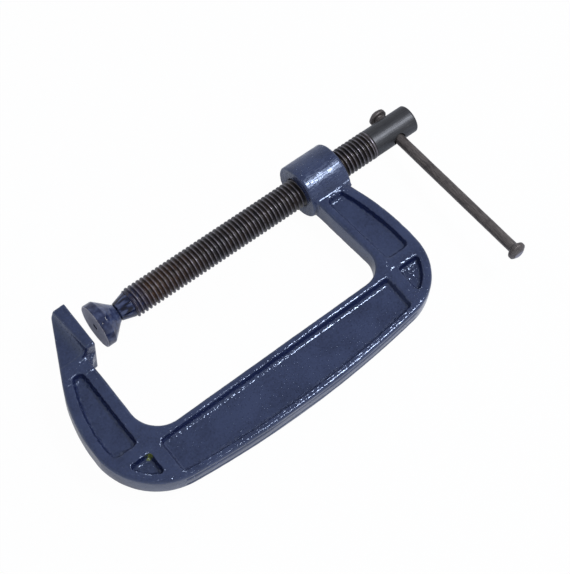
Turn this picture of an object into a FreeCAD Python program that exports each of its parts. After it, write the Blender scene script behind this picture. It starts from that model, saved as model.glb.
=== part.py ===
import FreeCAD, Part
import math
import os

# Heavy-duty cast iron G-clamp, 150 mm opening, lying on its side.
# X runs along the screw from the anvil to the head, the spine lies at -Y, +Z is the
# thickness of the casting. The origin is the centre of the anvil face, on the screw axis.

# ---- driving dimensions, millimetres ------------------------------------------------
# opening and throat
opening = 168.5            # anvil face to the near end of the boss
throat = 82.0              # screw axis to the inside of the spine, at the jaw

# casting, in plan
web_thickness = 17.5       # both arms and the spine, measured along Z
spine_depth = 33.8         # inside of the spine to the outermost point of the jaw's heel
spine_lean = 0.6           # degrees that its inside closes in on the screw, going to the arm
heel_rise = 2.7            # the arm's heel lies this much nearer the screw than the jaw's
spine_radius = 680.0       # its bowed back
jaw_heel = 46.0            # outer corner at the jaw
arm_heel = 37.5            # outer corner at the screw arm
jaw_inset = 7.2            # the jaw arm's inner side lies this far behind the anvil face
jaw_depth = 32.4           # jaw arm, across its root
jaw_corner = 20.0          # inner corner at the jaw
jaw_back_radius = 115.0    # back of the jaw arm, where it leaves the heel
jaw_tip = 10.0             # anvil face to the back of the jaw, at its tip
arm_overhang = 6.9         # the screw arm's back beyond the far end of the boss
arm_end_inset = 4.7        # far end of the boss to the arm's back, where they meet
arm_start = 2.6            # the arm's inner side starts this far behind the boss's near end
arm_lean = 5.6             # degrees that its inner side leans away from the boss
arm_corner = 15.5          # inner corner at the screw arm
edge_chamfer = 1.2         # cast edges

# anvil
anvil_top = 17.0           # screw axis to the tip of the jaw
anvil_bottom = 16.0        # screw axis to the anvil's lower end
anvil_width = 37.0         # along Z
anvil_thickness = 6.2      # along X, at its lower end
anvil_tip_thickness = 8.6  # and at the tip
anvil_ramp = 10.5          # run of the hollow ramp from the anvil down to the arm
anvil_chamfer = 0.8
anvil_fillet = 4.0         # under the anvil, where it meets the arm
tip_round = 2.5            # back corner of the tip
gusset_reach = 10.0        # the web under the anvil runs this far down the arm
gusset_thickness = 11.0    # along Z

# boss
boss_wall = 8.5            # round the screw
boss_length = 30.8
boss_chamfer = 0.9
boss_fillet = 2.0          # where the flat sides of the arm run into the boss
bore_mouth = 0.8           # chamfer of the threaded bore

# lightening recesses, the same on both sides
floor_thickness = 6.7      # what the two sides leave between them
recess_draft = 1.3         # run of the sloping walls
recess_foot = 0.9          # easing between the walls and the floor
recess_corner = 1.4        # corners at the floor
small_draft = 0.9          # the same three for the small recesses at the corners
small_foot = 0.5
small_corner = 0.8
rim_jaw = 7.5              # jaw arm, inner rim
rim_arm = 5.2              # screw arm, inner rim
rim_back = 6.3             # outer rim of the arms
rim_corner = 5.6           # outer rim round the heels
rim_spine = 4.0            # both rims of the spine
rib_width = 8.3            # ribs that part the recesses at the corners
jaw_recess_gap = 6.5       # lower end of the anvil to the jaw's recess
arm_recess_gap = 1.5       # foot of the boss to the arm's recess
jaw_rib_drop = 2.6         # middle of the rib below the inside of the spine
jaw_rib_shift = 1.2        # and behind the jaw arm's inner side
arm_rib_rise = 1.1         # middle of the rib above the inside of the spine
arm_rib_shift = 1.4        # and behind the screw arm's inner side

# spindle
screw_diameter = 20.0      # over the thread
screw_fit = 0.06           # radial clearance in the boss
screw_chamfer = 1.2        # first turn of the thread
head_gap = 19.7            # boss to head, when the clamp is closed
head_length = 34.1
head_diameter = 19.5
head_step = 1.0            # run-out of the thread at the head
head_chamfer = 0.8
ball_diameter = 12.0
ball_shoulder = 1.7        # the ball stands this far out from the neck
cone_gap = 1.0             # pad to cone
cone_shoulder = 1.9        # the cone's small end stands this far out from the neck
cone_chamfer = 0.8
cone_length = 9.0
cross_hole_inset = 15.7    # end of the head to the middle of the cross hole
cross_hole_mouth = 0.6

# swivel pad
pad_gap = 10.0             # anvil face to pad face, as drawn
pad_diameter = 30.0
pad_rim = 6.5              # length of its cylindrical rim
pad_edge = 0.6             # chamfers
pad_hole = 4.6             # small hole in the middle of the face
pad_floor = 2.3            # wall between the face and the socket
pad_crimp = 3.2            # length of the crimped lip, behind the socket
pad_lip = 2.0              # wall of the crimped lip
pad_lip_length = 1.0
drill_point = 118.0        # degrees, cone at the bottom of the socket
ball_clearance = 0.3
neck_clearance = 0.4

# tommy bar
bar_diameter = 7.2
bar_play = 0.7             # all round, in the cross hole
bar_tilt = 8.0             # degrees that its long end stands above level
bar_reach = 121.0          # screw axis to the far collar
bar_slack = 2.2            # head to the near collar
near_lip = 2.7             # each collar stands this far out from the bar
far_lip = 2.6
collar_thickness = 2.6
collar_crown = 1.9         # height of its hammered crown
collar_flat = 3.4          # radius of the crown's flat top
collar_edge = 0.6
collar_flare = 1.5         # slope behind the far collar

# ---- what follows from them ---------------------------------------------------------
half_web = web_thickness / 2
recess_depth = (web_thickness - floor_thickness) / 2
spine_slope = math.tan(math.radians(spine_lean))
jaw_back_x = -jaw_inset - jaw_depth
jaw_heel_y = -throat - spine_depth + jaw_heel
arm_heel_y = -throat - spine_depth + heel_rise + arm_heel
screw_radius = screw_diameter / 2
boss_radius = screw_radius + boss_wall
boss_end = opening + boss_length
arm_back_x = boss_end + arm_overhang
arm_root = -(screw_radius + boss_radius) / 2        # the arm ends inside the boss's wall
arm_slope = math.tan(math.radians(arm_lean))

socket_radius = ball_diameter / 2 + ball_clearance
neck_radius = ball_diameter / 2 - ball_shoulder
pad_throat = neck_radius + neck_clearance
ball_x = pad_gap + pad_floor + socket_radius
socket_end = ball_x + math.sqrt(socket_radius ** 2 - pad_throat ** 2)
pad_back_x = socket_end + pad_crimp
cone_x = pad_back_x + cone_gap
screw_start = cone_x + cone_length
head_start = boss_end + head_gap + pad_gap
head_end = head_start + head_length
head_radius = head_diameter / 2
cross_hole = bar_diameter + 2 * bar_play
cross_hole_x = head_end - cross_hole_inset

Z_AXIS = FreeCAD.Vector(0, 0, 1)
X_AXIS = FreeCAD.Vector(1, 0, 0)


# ---- geometry helpers ---------------------------------------------------------------
def at(x, y, z=0.0):
    return FreeCAD.Vector(x, y, z)


def on_circle(centre, radius, degrees):
    angle = math.radians(degrees)
    return centre + at(radius * math.cos(angle), radius * math.sin(angle))


def direction(start, end):
    """Heading from one point to another in the XY plane, in degrees from 0 to 360."""
    return math.degrees(math.atan2(end.y - start.y, end.x - start.x)) % 360


def arc(centre, radius, start, end):
    """Arc in the XY plane from one angle to another, in degrees."""
    first = on_circle(centre, radius, start)
    middle = on_circle(centre, radius, (start + end) / 2)
    last = on_circle(centre, radius, end)
    return Part.Arc(first, middle, last).toShape()


def line(start, end):
    return Part.makeLine(start, end)


def path(*points):
    """Straight edges through (x, y) points."""
    return [line(at(*a), at(*b)) for a, b in zip(points, points[1:])]


def corner(before, tip, after, radius):
    """The two tangent points and the arc that rounds a corner between two lines."""
    a = (before - tip).normalize()
    b = (after - tip).normalize()
    half = a.getAngle(b) / 2
    reach = radius / math.tan(half)
    centre = tip + (a + b).normalize() * (radius / math.sin(half))
    start = tip + a * reach
    end = tip + b * reach
    middle = centre + (tip - centre).normalize() * radius
    return start, end, Part.Arc(start, middle, end).toShape()


def loop(edges):
    return Part.Wire(Part.__sortEdges__(edges))


def polygon(points):
    return Part.Face(Part.makePolygon(points + [points[0]]))


def plate(edges, half_thickness):
    """A flat solid, level with z = 0 at its middle, from a closed outline in plan."""
    face = Part.Face(loop(edges))
    face.translate(at(0, 0, -half_thickness))
    return face.extrude(at(0, 0, 2 * half_thickness))


def turned(edges):
    """A solid of revolution about X from its half section in the XY plane."""
    return Part.Face(loop(edges)).revolve(at(0, 0), X_AXIS, 360)


def flat_edges(solid, height):
    """Edges of a solid that lie in the planes z = +height and z = -height."""
    found = []
    for edge in solid.Edges:
        span = edge.BoundBox
        if span.ZLength < 1e-4 and abs(abs(span.ZMin) - height) < 1e-4:
            found.append(edge)
    return found


# ---- frame --------------------------------------------------------------------------
def spine_inner(x):
    """The spine's inner side, which leans."""
    return -throat + spine_slope * (x + jaw_inset)


def spine_back():
    """Centres of the two heels and of the bow that touches both, and its end angles."""
    jaw = at(jaw_back_x + jaw_heel, jaw_heel_y)
    arm = at(arm_back_x - arm_heel, arm_heel_y)
    between = arm - jaw
    to_jaw = spine_radius - jaw_heel
    to_arm = spine_radius - arm_heel
    along = (between.Length ** 2 + to_jaw ** 2 - to_arm ** 2) / (2 * between.Length)
    across = math.sqrt(to_jaw ** 2 - along ** 2)
    between.normalize()
    bow = jaw + between * along + at(-between.y, between.x) * across
    return jaw, arm, bow, direction(bow, jaw), direction(bow, arm)


def jaw_back():
    """Centre of the arc up the back of the jaw, and its angle where it turns straight."""
    centre = at(jaw_back_x + jaw_back_radius, jaw_heel_y)
    to_tip = at(-jaw_tip, anvil_top) - centre
    tip_angle = math.atan2(to_tip.y, to_tip.x)
    tangent = math.acos(jaw_back_radius / to_tip.Length)
    return centre, math.degrees(tip_angle + tangent)


def arm_back():
    """Centre and radius of the arc from the heel up to the far end of the boss."""
    run = arm_overhang + arm_end_inset
    rise = arm_root - arm_heel_y
    radius = (run ** 2 + rise ** 2) / (2 * run)
    return at(arm_back_x - radius, arm_heel_y), radius


def arm_inner(y):
    """The screw arm's inner side, which leans."""
    return opening + arm_start + arm_slope * (arm_root - y)


def arm_inner_foot():
    """Where the inner sides of the screw arm and the spine would meet."""
    y = spine_inner(arm_inner(0)) / (1 + spine_slope * arm_slope)
    return at(arm_inner(y), y)


def outline(inset=0.0):
    """Plan outline of the casting. An inset moves its back inwards."""
    left, right, bow, bow_start, bow_end = spine_back()
    jaw_centre, jaw_angle = jaw_back()
    arm_centre, arm_radius = arm_back()
    jaw_line = on_circle(jaw_centre, jaw_back_radius - inset, jaw_angle)
    jaw_slope = math.tan(math.radians(180 - jaw_angle))
    tip_back = at(jaw_line.x + (anvil_top - jaw_line.y) * jaw_slope, anvil_top)
    arm_angle = math.degrees(math.asin((arm_root - arm_heel_y) / (arm_radius - inset)))
    arm_end = on_circle(arm_centre, arm_radius - inset, arm_angle)

    arm_top = at(arm_inner(arm_root), arm_root)
    arm_foot = arm_inner_foot()
    jaw_foot = at(-jaw_inset, -throat)
    jaw_head = at(-jaw_inset, -anvil_bottom)
    anvil_foot = at(0, -anvil_bottom)
    tip_face = at(0, anvil_top)
    arm_a, arm_b, arm_round = corner(arm_top, arm_foot, jaw_foot, arm_corner)
    jaw_a, jaw_b, jaw_round = corner(arm_foot, jaw_foot, jaw_head, jaw_corner)
    tip_a, tip_b, tip_curve = corner(jaw_line, tip_back, tip_face, tip_round)
    under_a, under_b, under = corner(jaw_foot, jaw_head, anvil_foot, anvil_fillet)
    return [
        line(tip_a, jaw_line),
        arc(jaw_centre, jaw_back_radius - inset, jaw_angle, 180),
        arc(left, jaw_heel - inset, 180, bow_start),
        arc(bow, spine_radius - inset, bow_start, bow_end),
        arc(right, arm_heel - inset, bow_end, 360),
        arc(arm_centre, arm_radius - inset, 0, arm_angle),
        line(arm_end, arm_top),
        line(arm_top, arm_a),
        arm_round,
        line(arm_b, jaw_a),
        jaw_round,
        line(jaw_b, under_a),
        under,
        line(under_b, anvil_foot),
        line(anvil_foot, tip_face),
        line(tip_face, tip_b),
        tip_curve,
    ]


def web():
    """Both arms and the spine, with chamfered edges."""
    body = plate(outline(), half_web)
    return body.makeChamfer(edge_chamfer, flat_edges(body, half_web))


def anvil_ramps():
    """Section of the anvil and its hollow ramps, drawn out along Y and turned by the taper
    of the anvil."""
    half = anvil_width / 2
    rise = half - half_web
    radius = (anvil_ramp ** 2 + rise ** 2) / (2 * rise)
    back = -anvil_thickness
    foot = back - anvil_ramp
    upper = at(foot, half_web + radius)
    lower = at(foot, -half_web - radius)
    reach = direction(upper, at(back, half)) - 270
    face = Part.Face(loop([
        arc(upper, radius, 270, 270 + reach),
        *path((back, half), (half, half), (half, -half), (back, -half)),
        arc(lower, radius, 90 - reach, 90),
        *path((foot, -half_web), (foot, half_web)),
    ]))
    face.rotate(at(0, 0), X_AXIS, 90)
    face.translate(at(0, 2 * anvil_top))
    block = face.extrude(at(0, -2 * anvil_top - 2 * anvil_bottom))
    taper = math.atan((anvil_tip_thickness - anvil_thickness) / (anvil_top + anvil_bottom))
    block.rotate(at(back, -anvil_bottom), Z_AXIS, math.degrees(taper))
    return block


def anvil():
    """The wide anvil plate, thicker towards its tip, and its ramps down to the arm."""
    half = anvil_width / 2
    region = Part.Face(loop(outline())).common(polygon([
        at(jaw_back_x, -anvil_bottom), at(half, -anvil_bottom),
        at(half, 2 * anvil_top), at(jaw_back_x, 2 * anvil_top),
    ])).Faces[0]
    region.translate(at(0, 0, -half))
    block = region.extrude(at(0, 0, 2 * half))
    block = block.makeChamfer(anvil_chamfer, flat_edges(block, half))
    return block.common(anvil_ramps())


def gusset():
    """Hollow web under the anvil."""
    radius = (jaw_inset ** 2 + gusset_reach ** 2) / (2 * jaw_inset)
    inside = -jaw_inset - anvil_fillet
    top = -anvil_bottom
    end = top - gusset_reach
    centre = at(radius - jaw_inset, end)
    hollow = arc(centre, radius, direction(centre, at(0, top)), 180)
    edges = path((-jaw_inset, end), (inside, end), (inside, top), (0, top))
    return plate([*edges, hollow], gusset_thickness / 2)


def boss():
    """Round boss, chamfered at both ends."""
    r = boss_radius
    e = boss_chamfer
    return turned(path(
        (opening, 0), (opening, r - e), (opening + e, r),
        (boss_end - e, r), (boss_end, r - e), (boss_end, 0), (opening, 0),
    ))


def bore():
    """Bore for the screw, with a chamfer at each mouth that runs out past the boss."""
    r = screw_radius + screw_fit
    past = 1.0
    mouth = r + bore_mouth + past
    start = opening - past
    end = boss_end + past
    return turned(path(
        (start, 0), (start, mouth), (opening + bore_mouth, r),
        (boss_end - bore_mouth, r), (end, mouth), (end, 0), (start, 0),
    ))


def recess(region, rim, draft, foot, floor_corner):
    """Pocket in the upper side, inside a region in plan and the rim, with sloping walls
    that are eased into the floor."""
    inside = Part.Face(loop(outline(rim)))
    core = inside.common(polygon(region)).Faces[0].makeOffset2D(-floor_corner - foot - draft)
    levels = []
    for spread, rise in ((0, 0), (foot, foot), (foot + draft, recess_depth)):
        level = core.makeOffset2D(floor_corner + spread).OuterWire
        level.translate(at(0, 0, half_web - recess_depth + rise))
        levels.append(level)
    return Part.makeLoft(levels, True, True)


def recesses():
    """The recesses of the upper side: jaw, corner, spine, corner and screw arm."""
    far = 2 * arm_back_x
    half_rib = rib_width / 2
    jaw_rib_x = -jaw_inset - jaw_rib_shift
    jaw_rib_y = -throat - jaw_rib_drop
    arm_foot = arm_inner_foot()
    arm_rib_x = arm_foot.x + arm_rib_shift
    arm_rib_y = arm_foot.y + arm_rib_rise
    boss_foot = math.sqrt((boss_radius + boss_fillet) ** 2 - (half_web + boss_fillet) ** 2)
    arm_top = -boss_foot - arm_recess_gap
    arm_bottom = arm_rib_y + half_rib

    def area(x0, x1, y0, y1):
        return [at(x0, y0), at(x1, y0), at(x1, y1), at(x0, y1)]

    jaw = area(-far, -jaw_inset - rim_jaw, jaw_rib_y + half_rib, -anvil_bottom - jaw_recess_gap)
    jaw_end = area(-far, jaw_rib_x - half_rib, -far, jaw_rib_y - half_rib)
    spine_start = jaw_rib_x + half_rib
    spine_end = arm_rib_x - half_rib
    spine = [
        at(spine_start, -far), at(spine_end, -far),
        at(spine_end, spine_inner(spine_end) - rim_spine),
        at(spine_start, spine_inner(spine_start) - rim_spine),
    ]
    arm_end = area(arm_rib_x + half_rib, far, -far, arm_rib_y - half_rib)
    screw_arm = [
        at(arm_inner(arm_bottom) + rim_arm, arm_bottom), at(far, arm_bottom),
        at(far, arm_top), at(arm_inner(arm_top) + rim_arm, arm_top),
    ]
    large = (recess_draft, recess_foot, recess_corner)
    small = (small_draft, small_foot, small_corner)
    return [
        recess(jaw, rim_back, *large),
        recess(jaw_end, rim_corner, *small),
        recess(spine, rim_spine, *large),
        recess(arm_end, rim_corner, *small),
        recess(screw_arm, rim_back, *large),
    ]


def boss_seams(body):
    """The two straight edges where the flat sides of the arm meet the round of the boss."""
    seam_y = -math.sqrt(boss_radius ** 2 - half_web ** 2)
    return [
        edge for edge in flat_edges(body, half_web)
        if edge.BoundBox.YLength < 1e-4 and abs(edge.BoundBox.YMax - seam_y) < 1e-4
    ]


def frame():
    """The casting: arms and spine, boss, anvil with its gusset, threaded bore, recesses."""
    body = web().fuse(boss()).removeSplitter()
    body = body.makeFillet(boss_fillet, boss_seams(body))
    body = body.fuse([anvil(), gusset()]).cut(bore())
    for pocket in recesses():
        body = body.cut([pocket, pocket.mirror(at(0, 0), Z_AXIS)])
    return body


# ---- spindle ------------------------------------------------------------------------
def spindle():
    """Ball, neck, cone, threaded length and plain head, turned from one bar."""
    ball = ball_diameter / 2
    neck_angle = math.degrees(math.asin(neck_radius / ball))
    neck_x = ball_x + math.sqrt(ball ** 2 - neck_radius ** 2)
    cone_small = neck_radius + cone_shoulder
    body = turned([
        arc(at(ball_x, 0), ball, 180, neck_angle),
        *path(
            (neck_x, neck_radius), (cone_x - cone_chamfer, neck_radius), (cone_x, cone_small),
            (screw_start, screw_radius - screw_chamfer),
            (screw_start + screw_chamfer, screw_radius),
            (head_start - head_step, screw_radius), (head_start, head_radius),
            (head_end - head_chamfer, head_radius), (head_end, head_radius - head_chamfer),
            (head_end, 0), (ball_x - ball, 0),
        ),
    ])
    return body.cut(cross_bore())


def bar_direction():
    angle = math.radians(bar_tilt)
    return at(0, -math.cos(angle), math.sin(angle))


def cross_bore():
    """Hole for the tommy bar, with a chamfer at each mouth."""
    axis = bar_direction()
    middle = at(cross_hole_x, 0)
    hole = Part.makeCylinder(cross_hole / 2, 2 * head_diameter, middle - axis * head_diameter, axis)
    depth = cross_hole / 2
    outside = head_radius - cross_hole_mouth + depth
    mouths = []
    for side in (1, -1):
        edge = middle + axis * side * outside
        mouths.append(Part.makeCone(cross_hole, cross_hole / 2, depth, edge, axis * -side))
    return hole.fuse(mouths)


# ---- swivel pad ---------------------------------------------------------------------
def socket():
    """Half section of the bore round the ball: its drilled bottom, a straight wall and the
    lip crimped in behind the ball, all clear of the ball by the same amount."""
    s = socket_radius
    point = math.radians(drill_point / 2)
    crimp = math.acos(pad_throat / s)
    tip_x = ball_x - s / math.sin(point)
    hole = pad_hole / 2
    return [
        (tip_x + hole / math.tan(point), hole),
        (tip_x + s / math.tan(point), s),
        (ball_x + s * math.tan(crimp / 2), s),
        (socket_end, pad_throat),
    ]


def swivel_pad():
    """Turned cup: rim, conical back crimped over the ball, and a hole in the face."""
    r = pad_diameter / 2
    e = pad_edge
    lip = pad_throat + pad_lip
    rim_x = pad_gap + pad_rim
    inside = socket()
    return turned(path(
        *inside, (pad_back_x, pad_throat), (pad_back_x, lip - e),
        (pad_back_x - pad_lip_length, lip), (rim_x, r - e), (rim_x - e, r),
        (pad_gap + e, r), (pad_gap, r - e), (pad_gap, pad_hole / 2), inside[0],
    ))


# ---- tommy bar ----------------------------------------------------------------------
def tommy_bar():
    """Plain bar with both ends upset. It is turned about X, then laid along its hole."""
    r = bar_diameter / 2
    e = collar_edge
    near = r + near_lip
    far = r + far_lip
    near_x = -head_radius - bar_slack
    near_rim = near_x - collar_thickness
    far_rim = bar_reach + collar_thickness
    near_end = near_rim - collar_crown
    far_end = far_rim + collar_crown
    bar = turned(path(
        (near_end, 0), (near_end, collar_flat), (near_rim, near),
        (near_x - e, near), (near_x, near - e), (near_x, r),
        (bar_reach - collar_flare, r), (bar_reach, far - e), (bar_reach + e, far),
        (far_rim, far), (far_end, collar_flat), (far_end, 0), (near_end, 0),
    ))
    bar.rotate(at(0, 0), Z_AXIS, -90)
    bar.rotate(at(0, 0), X_AXIS, -bar_tilt)
    bar.translate(at(cross_hole_x, 0))
    return bar


os.makedirs("parts", exist_ok=True)
frame().exportStep("parts/frame.step")
spindle().exportStep("parts/spindle.step")
swivel_pad().exportStep("parts/swivel_pad.step")
tommy_bar().exportStep("parts/tommy_bar.step")
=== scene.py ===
"""Dresses a cast iron G-clamp: enamelled casting, black screw, swivel pad, tommy bar, stage."""
import math

import bmesh
import bpy
from mathutils import Matrix, Vector, noise
from mathutils.bvhtree import BVHTree


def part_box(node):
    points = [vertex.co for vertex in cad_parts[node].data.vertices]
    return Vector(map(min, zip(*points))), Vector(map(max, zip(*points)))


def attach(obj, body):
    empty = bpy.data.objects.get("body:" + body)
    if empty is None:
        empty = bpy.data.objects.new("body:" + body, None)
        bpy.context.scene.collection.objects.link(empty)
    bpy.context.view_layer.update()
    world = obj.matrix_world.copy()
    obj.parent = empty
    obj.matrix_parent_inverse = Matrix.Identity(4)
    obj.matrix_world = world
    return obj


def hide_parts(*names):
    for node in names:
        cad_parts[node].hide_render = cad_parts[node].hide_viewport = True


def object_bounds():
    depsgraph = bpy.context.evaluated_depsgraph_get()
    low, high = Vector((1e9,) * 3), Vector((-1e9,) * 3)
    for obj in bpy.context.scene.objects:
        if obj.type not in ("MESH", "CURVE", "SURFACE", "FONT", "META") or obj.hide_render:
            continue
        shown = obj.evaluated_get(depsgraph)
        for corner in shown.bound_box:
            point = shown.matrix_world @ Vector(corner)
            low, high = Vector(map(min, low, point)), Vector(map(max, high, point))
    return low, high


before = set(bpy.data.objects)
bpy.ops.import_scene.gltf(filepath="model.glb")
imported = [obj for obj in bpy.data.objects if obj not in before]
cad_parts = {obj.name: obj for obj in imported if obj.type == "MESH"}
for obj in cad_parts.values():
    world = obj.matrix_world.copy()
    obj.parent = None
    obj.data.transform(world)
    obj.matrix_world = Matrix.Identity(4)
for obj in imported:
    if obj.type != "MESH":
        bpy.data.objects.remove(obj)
cad_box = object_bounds()

bl_info = {
    "name": "G-clamp",
    "version": (1, 0, 0),
    "blender": (4, 5, 0),
    "location": "View3D > Sidebar > G-clamp",
    "description": "Builds the pieces and finishes of a cast iron G-clamp",
    "category": "Object",
}

MM = 0.001

# The casting, in the frame's coordinates.
WEB_FACE = 8.75 * MM      # half the thickness of the web
RECESS_FLOOR = 3.35 * MM  # half of what is left between the recesses
JAW_FOOT = -17 * MM       # y above which there is only the anvil and the boss, no recess
BOSS_START = 168 * MM     # x at which the boss begins
WET_START = 95 * MM       # x beyond which the enamel on the lips has run thick
WET_FOOT = -96 * MM       # y above which it has

FACE_SIZE = 0.35 * MM      # faces of the pad, the bar and the screw's nose
HEAD_FACE_SIZE = 0.4 * MM  # faces of the screw's head

# What each vertex of the casting keeps for its paint, from 0 to 1.
SKIN_MARKS = ("rough_skin", "rubbed_film", "painted_shade_on_walls", "old_grease")

# Where the sand crumbled: centre in X and Y, radius, height of the marks, all in mm.
CRUMBLED = (
    (-18, -92, 8, 0.6),
    (190, -88, 9, 0.9),
    (180, -78, 6, 0.7),
    (187, -20, 6, 0.8),
    (-22, -33, 6, 0.7),
    (134, -101, 8, 0.2),
    (-4, -19, 7, 0.5),
)

# Old grease in the small recess by the jaw: centre in X and Y and radius, in mm.
GREASE = (-14, -90, 2.3)

# The Mix node's colour sockets, by number because their names repeat.
MIX_A, MIX_B, MIX_RESULT = 6, 7, 2

# What every setting that is a length has in common.
LENGTH = {"subtype": "DISTANCE", "unit": "LENGTH", "precision": 5}


# ---- colour and nodes -------------------------------------------------------------------
def hex_colour(code):
    """Linear RGB of an sRGB hex colour."""
    linear = []
    for start in (1, 3, 5):
        value = int(code[start:start + 2], 16) / 255
        linear.append(value / 12.92 if value <= 0.04045 else ((value + 0.055) / 1.055) ** 2.4)
    return tuple(linear)


def add_node(tree, kind, settings=None, inputs=None, stops=None):
    """Adds a node, sets its properties and inputs, and links the inputs that are sockets."""
    made = tree.nodes.new(kind)
    for name, value in (settings or {}).items():
        setattr(made, name, value)
    for key, value in (inputs or {}).items():
        if isinstance(value, bpy.types.NodeSocket):
            tree.links.new(value, made.inputs[key])
        else:
            made.inputs[key].default_value = value
    for number, (place, colour) in enumerate(stops or []):
        elements = made.color_ramp.elements
        element = elements[number] if number < 2 else elements.new(place)
        element.position = place
        element.color = (*colour, 1.0)
    return made


def new_material(name):
    """An empty node material, its tree, and the object coordinates in it."""
    material = bpy.data.materials.new(name)
    material.use_nodes = True
    tree = material.node_tree
    tree.nodes.clear()
    place = add_node(tree, "ShaderNodeTexCoord").outputs["Object"]
    return material, tree, place


# ---- finishes ---------------------------------------------------------------------------
# The size of a noise's features is the inverse of its scale. Sand grains, grit and marks on
# steel are really 0.1 to 0.5 mm, too fine to show, so they are drawn 0.8 to 2 mm across.

def casting_enamel(paint):
    """Navy gloss enamel, brushed over a sand-cast iron frame. The sand shows through as
    a fine grain with a few sharp specks, and as coarse lumps where the skin is rough,
    round the recesses, where the wet film gives sharp, broken highlights. Handling has
    rubbed the boss dull in streaks, and old grease sits in one small recess."""
    material, tree, place = new_material("casting_enamel")
    marks = {
        name: add_node(tree, "ShaderNodeAttribute", {"attribute_name": name}).outputs["Fac"]
        for name in SKIN_MARKS
    }
    patches = add_node(
        tree, "ShaderNodeTexNoise",
        inputs={"Vector": place, "Scale": 1 / paint.patch_size, "Detail": 3.0, "Roughness": 0.6},
    ).outputs["Fac"]
    sand = add_node(
        tree, "ShaderNodeTexNoise",
        inputs={"Vector": place, "Scale": 1 / paint.sand_size, "Detail": 3.0, "Roughness": 0.6},
    ).outputs["Fac"]

    # Colour: uneven thickness, then painted shade on the steep recess walls and the anvil's end,
    # then grease.
    thickness = add_node(
        tree, "ShaderNodeMath", {"operation": "MULTIPLY_ADD"}, {0: sand, 1: 0.8, 2: patches},
    ).outputs["Value"]
    colour = add_node(
        tree, "ShaderNodeValToRGB", inputs={"Fac": thickness},
        stops=[(0.62, paint.deep_colour), (1.0, paint.colour)],
    ).outputs["Color"]
    # Painted shade: the steep faces of the recess walls and of the anvil's end are mixed towards
    # dark navy.
    for share, tint in (
        (marks["painted_shade_on_walls"], paint.wall_painted_shade_colour), (marks["old_grease"], paint.grease_colour),
    ):
        colour = add_node(
            tree, "ShaderNodeMix", {"data_type": "RGBA"},
            {"Factor": share, MIX_A: colour, MIX_B: (*tint, 1.0)},
        ).outputs[MIX_RESULT]

    # Relief: the grain, with specks on it, with lumps on top.
    speckle = add_node(
        tree, "ShaderNodeTexNoise",
        inputs={"Vector": place, "Scale": 1 / paint.speck_size, "Detail": 1.0, "Roughness": 0.5},
    ).outputs["Fac"]
    specks = add_node(
        tree, "ShaderNodeMapRange", inputs={"Value": speckle, "From Min": 0.64, "From Max": 0.72},
    ).outputs["Result"]
    lumpy = add_node(
        tree, "ShaderNodeTexNoise",
        inputs={"Vector": place, "Scale": 1 / paint.lump_size, "Detail": 2.0, "Roughness": 0.55},
    ).outputs["Fac"]
    lumps = add_node(
        tree, "ShaderNodeMath", {"operation": "MULTIPLY"}, {0: lumpy, 1: marks["rough_skin"]},
    ).outputs["Value"]
    relief = {}
    for height, depth in (
        (sand, paint.sand_depth), (specks, paint.speck_depth), (lumps, paint.lump_depth),
    ):
        bump = add_node(
            tree, "ShaderNodeBump",
            inputs={"Height": height, "Distance": depth, "Strength": 1.0, **relief},
        )
        relief = {"Normal": bump.outputs["Normal"]}

    # Gloss: wet nearly everywhere, duller in streaks where the film is rubbed.
    gloss = add_node(
        tree, "ShaderNodeMapRange",
        inputs={"Value": patches, "From Min": 0.3, "From Max": 0.7, "To Min": 0.08, "To Max": 0.16},
    ).outputs["Result"]
    lengthwise = add_node(
        tree, "ShaderNodeMapping", {"vector_type": "TEXTURE"},
        {"Vector": place, "Scale": (5.0, 1.0, 1.0)},
    ).outputs["Vector"]
    streaks = add_node(
        tree, "ShaderNodeTexNoise",
        inputs={"Vector": lengthwise, "Scale": 1 / (1.1 * MM), "Detail": 3.0, "Roughness": 0.6},
    ).outputs["Fac"]
    scuffs = add_node(
        tree, "ShaderNodeMapRange",
        inputs={"Value": streaks, "From Min": 0.42, "From Max": 0.56,
                "To Min": 0.30, "To Max": 0.04},
    ).outputs["Result"]
    gloss = add_node(
        tree, "ShaderNodeMath", {"operation": "MULTIPLY_ADD"},
        {0: scuffs, 1: marks["rubbed_film"], 2: gloss},
    ).outputs["Value"]
    shader = add_node(
        tree, "ShaderNodeBsdfPrincipled",
        inputs={"Base Color": colour, "Roughness": gloss, "IOR": 1.8,
                "Specular Tint": (*hex_colour("#CEDFFF"), 1.0), **relief},
    ).outputs["BSDF"]
    add_node(tree, "ShaderNodeOutputMaterial", inputs={"Surface": shader})
    return material


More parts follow.
